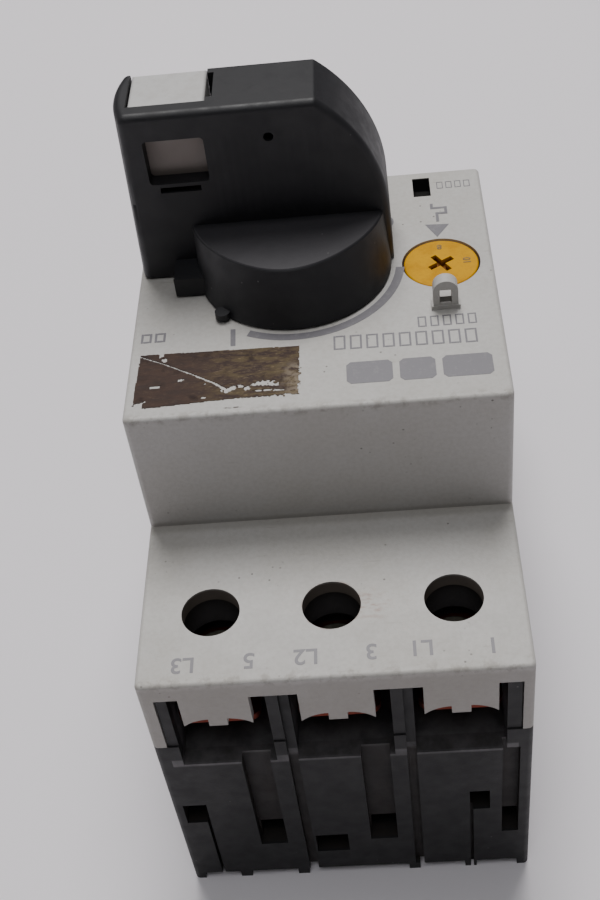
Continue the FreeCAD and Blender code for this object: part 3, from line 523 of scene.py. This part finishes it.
def add_figures(text, place, height, level, turn, material, name, body):
    """Generic figures, printed flat on the object."""
    curve = bpy.data.curves.new(name, "FONT")
    curve.body = text
    curve.size = height * MM * 1.35
    curve.align_x = "CENTER"
    curve.align_y = "CENTER"
    curve.extrude = FIGURE_THICKNESS * MM
    curve.offset = FIGURE_WEIGHT * MM
    maker = bpy.data.objects.new(name + "_curve", curve)
    bpy.context.collection.objects.link(maker)
    bpy.context.view_layer.update()
    evaluated = maker.evaluated_get(bpy.context.evaluated_depsgraph_get())
    mesh = bpy.data.meshes.new_from_object(evaluated)
    bpy.data.objects.remove(maker)
    spot = Matrix.Translation([place[0] * MM, place[1] * MM, (level + FIGURE_THICKNESS) * MM])
    mesh.transform(spot @ Matrix.Rotation(math.radians(turn), 4, "Z"))
    mesh.materials.clear()
    mesh.materials.append(material)
    piece = bpy.data.objects.new(name, mesh)
    bpy.context.collection.objects.link(piece)
    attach(piece, body)


# ---------------------------------------------------------------- sticker residue

def from_line(x, y, points):
    """How far a point lies from a run of straight lines, and how far along it is, from 0 to 1."""
    best, along = 1e9, 0.0
    for index, ((x0, y0), (x1, y1)) in enumerate(zip(points[:-1], points[1:])):
        across, tall = x1 - x0, y1 - y0
        share = ((x - x0) * across + (y - y0) * tall) / (across ** 2 + tall ** 2)
        share = min(1.0, max(0.0, share))
        away = math.hypot(x - x0 - share * across, y - y0 - share * tall)
        if away < best:
            best, along = away, (index + share) / (len(points) - 1)
    return best, along


def scraped_here(x, y, fray):
    """True where the glue was scratched or scraped off. x and y in millimetres."""
    long_scratch = ((-21.1, -11.6), (-18.05, -13.25), (-14.9, -15.2), (-11.8, -17.25), (-10.5, -18.45))
    away, along = from_line(x, y, long_scratch)
    if away < 0.09 + 0.16 * along ** 3 + 0.06 * fray:
        return True
    if from_line(x, y, ((-21.4, -20.5), (-20.0, -19.5)))[0] < 0.12 + 0.08 * fray:
        return True
    if abs(x + 18.95) < 0.6 + 0.05 * fray and abs(y + 17.15) < 0.2 + 0.04 * fray:
        return True
    patches = (
        (-10.4, -18.55, 0.55, 0.42), (-9.6, -18.2, 0.42, 0.36), (-8.8, -18.0, 0.34, 0.26),
        (-8.1, -18.45, 0.42, 0.34), (-7.2, -17.85, 0.5, 0.24), (-6.0, -17.75, 1.25, 0.44),
        (-4.8, -18.1, 0.6, 0.26), (-6.1, -18.95, 1.3, 0.17), (-4.4, -19.1, 0.75, 0.15),
        (-18.65, -11.5, 0.34, 0.5), (-18.1, -12.5, 0.36, 0.34), (-13.1, -19.5, 0.3, 0.14),
        (-13.0, -17.15, 0.2, 0.16), (-16.0, -16.2, 0.38, 0.22),
    )
    for patch_x, patch_y, wide, tall in patches:
        if ((x - patch_x) / wide) ** 2 + ((y - patch_y) / tall) ** 2 < 1 + 1.4 * fray:
            return True
    return False


def residue_here(x, y):
    """True where glue still sits on the face. x and y in millimetres."""
    wobble = noise.noise(Vector((x * 1.1, y * 1.1, 3.0)))
    fray = noise.noise(Vector((x * 3.3, y * 3.3, 7.0)))
    low_right = x > -9.5 and y < -19.0
    left = -21.15 + 0.03 * (y + 11.3)
    top = -11.28 - 0.019 * (x + 21.2)
    foot = -20.6 + 0.06 * max(0.0, x + 19.8)
    foot = min(foot, -20.0) + (0.45 * max(0.0, wobble) + 0.35 * fray if low_right else 0.04 * fray)
    right = -1.95 + 0.05 * fray + ((0.5 * fray + 0.35 * wobble) if y < -15.2 else 0.0)
    if not (left + 0.05 * fray < x < right and foot < y < top + 0.03 * fray):
        return False
    if x < -20.3 and y < -19.9 + 0.5 * (x + 21.2) + 0.3 * fray:
        return False
    return not scraped_here(x, y, fray)


def residue_patch(builder):
    """A thin skin of glue with a torn outline and scraped gaps."""
    cell = GLUE_CELL
    start_x, start_y = GLUE_START
    low = RAISED_FACE - MARK_SINK
    columns = int(GLUE_SPAN[0] / cell)
    rows = int(GLUE_SPAN[1] / cell)
    kept = {
        (column, row)
        for column in range(columns)
        for row in range(rows)
        if residue_here(start_x + (column + 0.5) * cell, start_y + (row + 0.5) * cell)
    }
    corners = {}

    def corner(column, row, top):
        key = (column, row, top)
        if key not in corners:
            x, y = start_x + column * cell, start_y + row * cell
            x += 0.05 * noise.noise(Vector((x * 4, y * 4, 1.0)))
            y += 0.05 * noise.noise(Vector((x * 4, y * 4, 5.0)))
            rise = GLUE_RISE + GLUE_RISE / 2 * noise.noise(Vector((x * 1.4, y * 2.6, 9.0)))
            level = RAISED_FACE + rise if top else low
            corners[key] = builder.verts.new((x * MM, y * MM, level * MM))
        return corners[key]

    sides = (
        ((-1, 0), (0, 1), (0, 0)), ((1, 0), (1, 0), (1, 1)),
        ((0, -1), (0, 0), (1, 0)), ((0, 1), (1, 1), (0, 1)),
    )
    for column, row in sorted(kept):
        ring = ((0, 0), (1, 0), (1, 1), (0, 1))
        builder.faces.new([corner(column + i, row + j, True) for i, j in ring])
        builder.faces.new([corner(column + i, row + j, False) for i, j in reversed(ring)])
        for (right, up), first, second in sides:
            if (column + right, row + up) in kept:
                continue
            loop = [(first, False), (second, False), (second, True), (first, True)]
            builder.faces.new([corner(column + i, row + j, top) for (i, j), top in loop])


# ---------------------------------------------------------------- stage, light, camera

def make_stage():
    """A plain pale floor under the object."""
    builder = bmesh.new()
    bmesh.ops.create_grid(builder, x_segments=2, y_segments=2, size=3.0)
    mesh = bpy.data.meshes.new("floor")
    builder.to_mesh(mesh)
    builder.free()
    floor = bpy.data.objects.new("floor", mesh)
    bpy.context.collection.objects.link(floor)
    paper = bpy.data.materials.new("floor_paper")
    paper.use_nodes = True
    shader = paper.node_tree.nodes["Principled BSDF"]
    shader.inputs["Base Color"].default_value = screen(235, 231, 236)
    shader.inputs["Roughness"].default_value = 0.9
    mesh.materials.append(paper)
    floor.location.z = cad_low.z


def add_light(name, azimuth, elevation, power, colour=(1, 1, 1)):
    """A soft round light, LIGHT_DISTANCE away from the object and aimed at it."""
    data = bpy.data.lights.new(name, "AREA")
    data.shape = "DISK"
    data.size = LIGHT_SIZE
    data.energy = power
    data.color = colour
    lamp = bpy.data.objects.new(name, data)
    bpy.context.collection.objects.link(lamp)
    turn, rise = math.radians(azimuth), math.radians(elevation)
    outward = Vector((math.sin(turn) * math.cos(rise), -math.cos(turn) * math.cos(rise), math.sin(rise)))
    lamp.location = LIGHT_TARGET + outward * LIGHT_DISTANCE
    lamp.rotation_mode = "QUATERNION"
    lamp.rotation_quaternion = (-outward).to_track_quat("-Z", "Y")


def make_lights():
    """Soft light, most of it from high behind the object. Azimuth 0 is the line end."""
    add_light("window_behind", 180, 68, 14.0, (1.0, 0.985, 0.975))
    add_light("ceiling_front", 0, 68, 2.5, (0.97, 0.98, 1.0))
    add_light("ceiling", 0, 90, 1.5)
    add_light("low_left", 270, 20, 1.05)
    add_light("front_fill", 0, 45, 0.12)
    world = bpy.data.worlds.new("surround")
    world.use_nodes = True
    background = world.node_tree.nodes["Background"]
    background.inputs["Color"].default_value = (0.86, 0.85, 0.88, 1)
    background.inputs["Strength"].default_value = 0.04
    bpy.context.scene.world = world


def make_camera():
    """The camera, from its place and three angles."""
    azimuth = math.radians(CAMERA_AZIMUTH)
    elevation = math.radians(CAMERA_ELEVATION)
    roll = math.radians(CAMERA_ROLL)
    level = math.cos(elevation)
    back = Vector((math.sin(azimuth) * level, -math.cos(azimuth) * level, math.sin(elevation)))
    right = Vector((0, 0, 1)).cross(back).normalized()
    up = back.cross(right)
    rolled_right = math.cos(roll) * right + math.sin(roll) * up
    rolled_up = math.cos(roll) * up - math.sin(roll) * right
    data = bpy.data.cameras.new("camera")
    data.lens = CAMERA_LENS
    data.sensor_width = CAMERA_SENSOR
    data.clip_start = 0.005
    camera = bpy.data.objects.new("camera", data)
    bpy.context.collection.objects.link(camera)
    turn = Matrix((rolled_right, rolled_up, back)).transposed()
    camera.matrix_world = Matrix.Translation([value * MM for value in CAMERA_PLACE]) @ turn.to_4x4()
    bpy.context.scene.camera = camera


# ---------------------------------------------------------------- the object

def dress_frame():
    """Every CAD node gets its material."""
    black = dark_plastic("black_insulator_plastic", screen(40, 40, 42), 0.25, 0.5)
    steel = metal("zinc_steel", screen(168, 166, 160), screen(120, 112, 100), 0.32, (0.1, 1.0, 1.0))
    wire = metal("spring_wire", screen(150, 150, 154), screen(104, 98, 92), 0.3)
    copper = metal("bare_copper", screen(188, 112, 78), screen(110, 62, 48), 0.34)
    brass = metal("tinned_brass", screen(176, 158, 112), screen(126, 108, 76), 0.36, (1.0, 0.1, 1.0))
    clamp = metal("copper_clamp", screen(118, 56, 44), screen(62, 32, 30), 0.45)
    screw = metal("screw_zinc", screen(112, 108, 98), screen(66, 60, 50), 0.42)
    heater = heater_material()
    housing = dark_plastic("dark_housing_plastic", screen(20, 20, 22), 0.09, 0.5, extra=housing_wear)
    handle = dark_plastic("handle_plastic", screen(33, 33, 36), 0.05, 0.47, 0.25, 0.02, handle_ribs_and_sheen)
    slide = slide_material()
    cover = cover_material()
    plain = {
        "base_housing": housing, "front_cover": cover, "line_terminal_cover": cover,
        "load_terminal_cover": cover, "rotary_handle": handle,
        "lock_slide": slide, "operating_shaft": black, "current_dial": dial_material(),
        "dial_cam": black, "test_slide": black, "test_spring": wire, "trip_bar": black,
        "switch_lever": steel, "main_spring": wire, "latch_frame": steel,
        "contact_carrier": black, "rail_latch": black, "latch_spring": wire,
    }
    poles = {
        "contact_bridge": copper, "contact_spring": wire, "fixed_contacts": copper,
        "arc_chute": steel, "magnet_coil": copper, "magnet_yoke": steel, "plunger": steel,
        "bimetal": heater, "line_plate": brass, "load_strip": brass, "line_washer": clamp,
        "load_washer": clamp, "line_screw": screw, "load_screw": screw,
    }
    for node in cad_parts:
        dress(node, plain.get(node) or poles[node.rsplit("_", 1)[0]])


def add_springs():
    """Copies of the springs, riding on the breaker. Each stands for its CAD node, which is hidden."""
    springs = (
        ("main_spring", "lever_rock", (0, 0, 1), (0, 0, 0.0563), 0.82),
        ("test_spring", "test_push", (0, 1, 0), (0, 0.0112, 0), 0.65),
        ("latch_spring", "rail_latch_pull", (0, 1, 0), (0, 0.0384, 0), 0.75),
    )
    for node, joint, axis, fixed_end, keep in springs:
        piece = bpy.data.objects.new(f"soft_{node}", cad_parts[node].data.copy())
        bpy.context.collection.objects.link(piece)
        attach(piece, "breaker")
        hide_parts(node)
        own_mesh(piece)


def slide_material():
    """Smooth light grey plastic, dirtier than the cover, with painted shade where it shows in the grip's
    window.
    """
    make = Shader("light_slide_plastic")
    stain = make.ramp(make.noise(2.4, 5, 0.65), 0.42, 0.7)
    tone = make.mix(make.times(stain, 0.35), screen(190, 189, 188), screen(150, 144, 138))
    dot_area = make.ramp(make.noise(3, 2), 0.48, 0.6)
    dots = make.times(make.ramp(make.cells(0.9), 0.1, 0.05), dot_area)
    tone = make.mix(make.times(dots, 0.5), tone, screen(90, 84, 80))
    y, z = make.axes()[1:]
    # Painted shade: the part of the slide seen through the grip's window is darkened.
    below_top = make.ramp(z, SLIDE_WINDOW_TOP * MM, (SLIDE_WINDOW_TOP - 1.0) * MM)
    near_face = make.ramp(y, (SLIDE_WINDOW_FACE + 0.4) * MM, SLIDE_WINDOW_FACE * MM)
    window = make.times(below_top, near_face)
    tone = make.mix(window, tone, screen(146, 136, 130))
    normal = make.bump(make.noise(0.3, 3), 0.025, 0.5)
    return make.finish(tone, make.ramp(stain, 0, 1, 0.4, 0.55), normal)


def add_marks():
    """Printed marks and the sticker residue."""
    ink = print_material()
    builder = bmesh.new()
    position_arc(builder)
    add_mesh("printed_position_arc", builder, ink, "breaker")
    builder = bmesh.new()
    face_marks(builder)
    add_mesh("printed_face_marks", builder, ink, "breaker")
    terminals = (("L3", -17.1, -43.65), ("5", -9.5, -43.5), ("L2", -3.0, -43.4), ("3", 4.4, -43.2),
                 ("L1", 10.0, -43.1), ("1", 18.0, -43.3))
    for index, (text, x, y) in enumerate(terminals):
        name = f"terminal_figure_{index + 1}"
        add_figures(text, (x, y), 2.2, STEP_FACE, 180, ink, name, "breaker")
    builder = bmesh.new()
    residue_patch(builder)
    add_mesh("sticker_residue", builder, residue_material(), "breaker")
    brown = Shader("dial_ink")
    tone = brown.mix(brown.ramp(brown.noise(0.4, 4), 0.4, 0.7), screen(110, 84, 30), screen(150, 116, 36))
    dial_ink = brown.finish(tone, 0.5)
    for index, (text, angle) in enumerate((("8", 90), ("10", 2))):
        name = f"dial_figure_{index + 1}"
        place = turned([(DIAL_FIGURES_RADIUS, 0.0)], DIAL, angle)[0]
        add_figures(text, place, 0.95, DIAL_TOP, angle + 90, dial_ink, name, "current_dial")


make_camera()
make_stage()
make_lights()
dress_frame()
add_springs()
add_marks()
